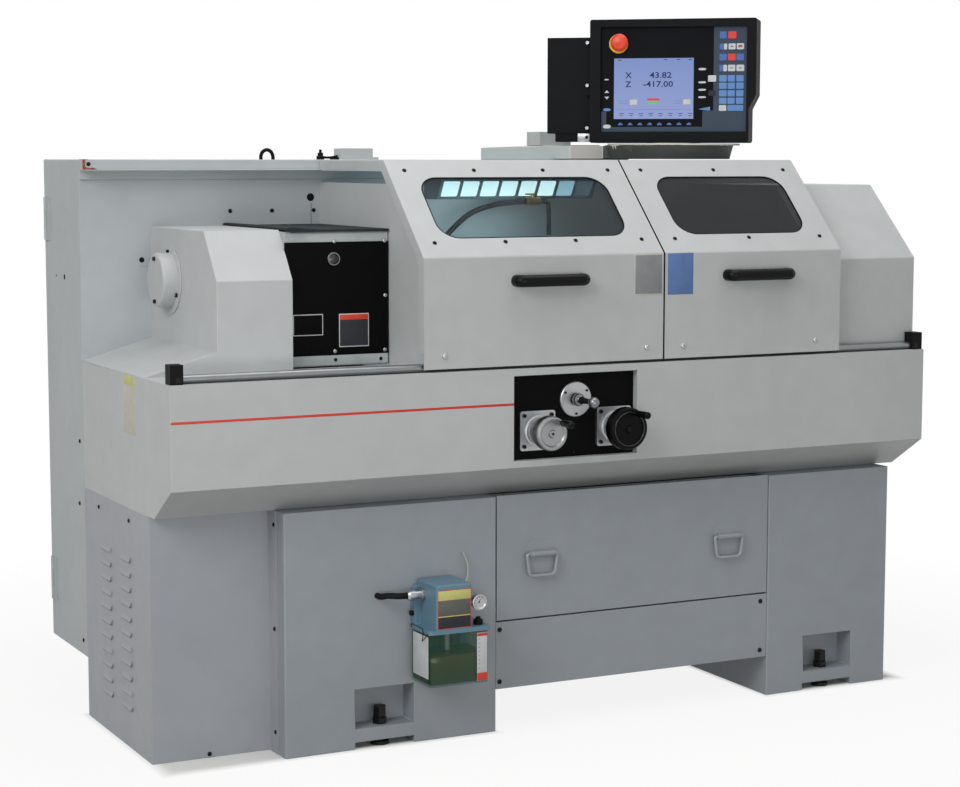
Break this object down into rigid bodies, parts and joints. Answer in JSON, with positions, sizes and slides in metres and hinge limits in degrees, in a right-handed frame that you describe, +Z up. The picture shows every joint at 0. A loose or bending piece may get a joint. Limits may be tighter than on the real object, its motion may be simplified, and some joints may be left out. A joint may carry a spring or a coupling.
{
  "type": "cnc turning lathe",
  "caption": "Floor-standing turning lathe with sliding front guards, a gripping spindle, a bed with carriage and tailstock, a chip drawer and a swivelling screen pendant.",
  "frame": {"origin": "on the floor, in the middle of the machine's bounding box at rest", "axes": "+X along the spindle from the headstock to the tailstock, +Y from the operator to the rear cabinet, +Z up"},
  "size_m": [2.008, 1.056, 1.703],
  "materials": {
    "cream_paint": "smooth powder coat, satin",
    "grey_paint": "smooth enamel, satin",
    "arm_paint": "powder coat",
    "bail_paint": "enamel",
    "tray_steel": "zinc plated and painted",
    "bed_iron": "cast and ground",
    "headstock_paint": "painted casting",
    "panel_black": "black, satin",
    "mat_rubber": "ribbed",
    "rail_steel": "ground",
    "machined_steel": "ground",
    "black_oxide": "blackened",
    "block_plastic": "black",
    "grip_plastic": "black",
    "control_alloy": "turned",
    "stick_parts": "polished",
    "window_sheet": "clear",
    "lamp_parts": "pale",
    "hose_rubber": "black",
    "belt_rubber": "black",
    "motor_paint": "enamel",
    "tank_plastic": "green translucent plastic",
    "pump_paint": "blue-grey enamel",
    "fitting_metal": "mixed",
    "pendant_shell": "black powder coat",
    "pendant_keys": "membrane panel",
    "stop_red": "red",
    "switch_parts": "pale grey"
  },
  "bodies": {
    "base": {"bed": "bed_iron", "chip_tray": "tray_steel", "control_flanges": "control_alloy", "control_plate": "panel_black", "coolant_line": "hose_rubber", "door_rail": "rail_steel", "drive_belt": "belt_rubber", "drive_modules": "tray_steel", "drive_motor": "motor_paint", "end_cabinet": "grey_paint", "end_cover": "cream_paint", "front_cover": "cream_paint", "headstock": "headstock_paint", "headstock_mat": "mat_rubber", "headstock_panel": "panel_black", "headstock_shield": "cream_paint", "interlock_switch": "switch_parts", "left_end_panel": "cream_paint", "left_pedestal": "grey_paint", "levelling_screws": "black_oxide", "lower_front_panel": "grey_paint", "lube_fittings": "fitting_metal", "lube_pump": "pump_paint", "lube_reservoir": "tank_plastic", "pendant_mount": "arm_paint", "rail_end_blocks": "block_plastic", "rear_cabinet": "cream_paint", "right_pedestal": "grey_paint", "tail_cover": "cream_paint", "work_lamp": "lamp_parts"},
    "left_door": {"left_door": "cream_paint", "left_window": "window_sheet", "left_door_handle": "grip_plastic"},
    "right_door": {"right_door": "cream_paint", "right_window": "window_sheet", "right_door_handle": "grip_plastic"},
    "spindle": {"spindle": "rail_steel", "chuck": "machined_steel"},
    "jaw_1": {"jaw_1": "machined_steel"},
    "jaw_2": {"jaw_2": "machined_steel"},
    "jaw_3": {"jaw_3": "machined_steel"},
    "motor_pulley": {"motor_pulley": "machined_steel"},
    "carriage": {"carriage": "bed_iron"},
    "cross_slide": {"cross_slide": "machined_steel"},
    "tool_post": {"tool_post": "machined_steel"},
    "lead_screw": {"lead_screw": "rail_steel"},
    "tailstock": {"tailstock": "bed_iron"},
    "quill": {"quill": "rail_steel"},
    "tailstock_wheel": {"tailstock_wheel": "control_alloy"},
    "left_handwheel": {"left_handwheel": "control_alloy"},
    "right_handwheel": {"right_handwheel": "grip_plastic"},
    "joystick_gimbal": {"joystick_gimbal": "stick_parts"},
    "joystick": {"joystick": "stick_parts"},
    "drawer": {"drawer": "grey_paint"},
    "left_bail": {"left_bail": "bail_paint"},
    "right_bail": {"right_bail": "bail_paint"},
    "rear_door": {"rear_door": "cream_paint"},
    "pendant": {"pendant_case": "pendant_shell", "pendant_face": "pendant_keys"},
    "estop_button": {"estop_button": "stop_red"}
  },
  "joints": [
    {"name": "left_door_slide", "type": "slide", "parent": "base", "child": "left_door", "axis": [1, 0, 0], "range_m": [-0.55, 0]},
    {"name": "right_door_slide", "type": "slide", "parent": "base", "child": "right_door", "axis": [1, 0, 0], "range_m": [0, 0.22]},
    {"name": "spindle_spin", "type": "hinge", "parent": "base", "child": "spindle", "pos_m": [-0.346, 0.079, 1.059], "axis": [1, 0, 0], "continuous": true},
    {"name": "jaw_1_slide", "type": "slide", "parent": "spindle", "child": "jaw_1", "axis": [0, 0, 1], "range_m": [-0.014, 0.03]},
    {"name": "jaw_2_slide", "type": "slide", "parent": "spindle", "child": "jaw_2", "axis": [0, -0.866, -0.5], "range_m": [-0.014, 0.03]},
    {"name": "jaw_3_slide", "type": "slide", "parent": "spindle", "child": "jaw_3", "axis": [0, 0.866, -0.5], "range_m": [-0.014, 0.03]},
    {"name": "motor_spin", "type": "hinge", "parent": "base", "child": "motor_pulley", "pos_m": [-0.789, -0.016, 0.27], "axis": [1, 0, 0], "continuous": true},
    {"name": "carriage_slide", "type": "slide", "parent": "base", "child": "carriage", "axis": [1, 0, 0], "range_m": [-0.19, 0.24]},
    {"name": "cross_slide", "type": "slide", "parent": "carriage", "child": "cross_slide", "axis": [0, 1, 0], "range_m": [-0.1, 0.06]},
    {"name": "tool_post_turn", "type": "hinge", "parent": "cross_slide", "child": "tool_post", "pos_m": [0.099, 0.003, 0.924], "axis": [0, 0, 1], "range_deg": [-90, 90]},
    {"name": "lead_screw_spin", "type": "hinge", "parent": "base", "child": "lead_screw", "pos_m": [-0.634, -0.108, 0.768], "axis": [1, 0, 0], "continuous": true},
    {"name": "tailstock_slide", "type": "slide", "parent": "base", "child": "tailstock", "axis": [1, 0, 0], "range_m": [-0.2, 0.02]},
    {"name": "quill_slide", "type": "slide", "parent": "tailstock", "child": "quill", "axis": [1, 0, 0], "range_m": [-0.1, 0]},
    {"name": "tailstock_wheel_spin", "type": "hinge", "parent": "tailstock", "child": "tailstock_wheel", "pos_m": [0.68, 0.079, 1.059], "axis": [1, 0, 0], "continuous": true},
    {"name": "left_handwheel_spin", "type": "hinge", "parent": "base", "child": "left_handwheel", "pos_m": [-0.102, -0.416, 0.716], "axis": [0, 1, 0], "continuous": true},
    {"name": "right_handwheel_spin", "type": "hinge", "parent": "base", "child": "right_handwheel", "pos_m": [0.102, -0.416, 0.716], "axis": [0, 1, 0], "continuous": true},
    {"name": "joystick_side", "type": "hinge", "parent": "base", "child": "joystick_gimbal", "pos_m": [0, -0.4, 0.784], "axis": [0, 0, 1], "range_deg": [-12, 12], "stiffness_Nm_per_rad": 6},
    {"name": "joystick_up", "type": "hinge", "parent": "joystick_gimbal", "child": "joystick", "pos_m": [0, -0.4, 0.784], "axis": [1, 0, 0], "range_deg": [-12, 12], "stiffness_Nm_per_rad": 6},
    {"name": "drawer_slide", "type": "slide", "parent": "base", "child": "drawer", "axis": [0, -1, 0], "range_m": [0, 0.45]},
    {"name": "left_bail_turn", "type": "hinge", "parent": "drawer", "child": "left_bail", "pos_m": [-0.065, -0.36, 0.417], "axis": [-1, 0, 0], "range_deg": [0, 95]},
    {"name": "right_bail_turn", "type": "hinge", "parent": "drawer", "child": "right_bail", "pos_m": [0.459, -0.36, 0.417], "axis": [-1, 0, 0], "range_deg": [0, 95]},
    {"name": "rear_door_swing", "type": "hinge", "parent": "base", "child": "rear_door", "pos_m": [-1, 0.5084, 0.141], "axis": [0, 0, 1], "range_deg": [0, 110]},
    {"name": "pendant_swivel", "type": "hinge", "parent": "base", "child": "pendant", "pos_m": [0.564, 0.084, 1.384], "axis": [0, 0, 1], "range_deg": [-40, 50]},
    {"name": "estop_press", "type": "slide", "parent": "pendant", "child": "estop_button", "axis": [0.6388, 0.7694, 0], "range_m": [0, 0.004], "stiffness_N_per_m": 1500, "springref_m": -0.002}
  ],
  "couplings": [
    {"joint": "jaw_2_slide", "follows": "jaw_1_slide", "ratio": 1},
    {"joint": "jaw_3_slide", "follows": "jaw_1_slide", "ratio": 1},
    {"joint": "motor_spin", "follows": "spindle_spin", "ratio": 1.6727},
    {"joint": "lead_screw_spin", "follows": "carriage_slide", "rad_per_m": 628.32},
    {"joint": "tailstock_wheel_spin", "follows": "quill_slide", "rad_per_m": 1256.6}
  ]
}
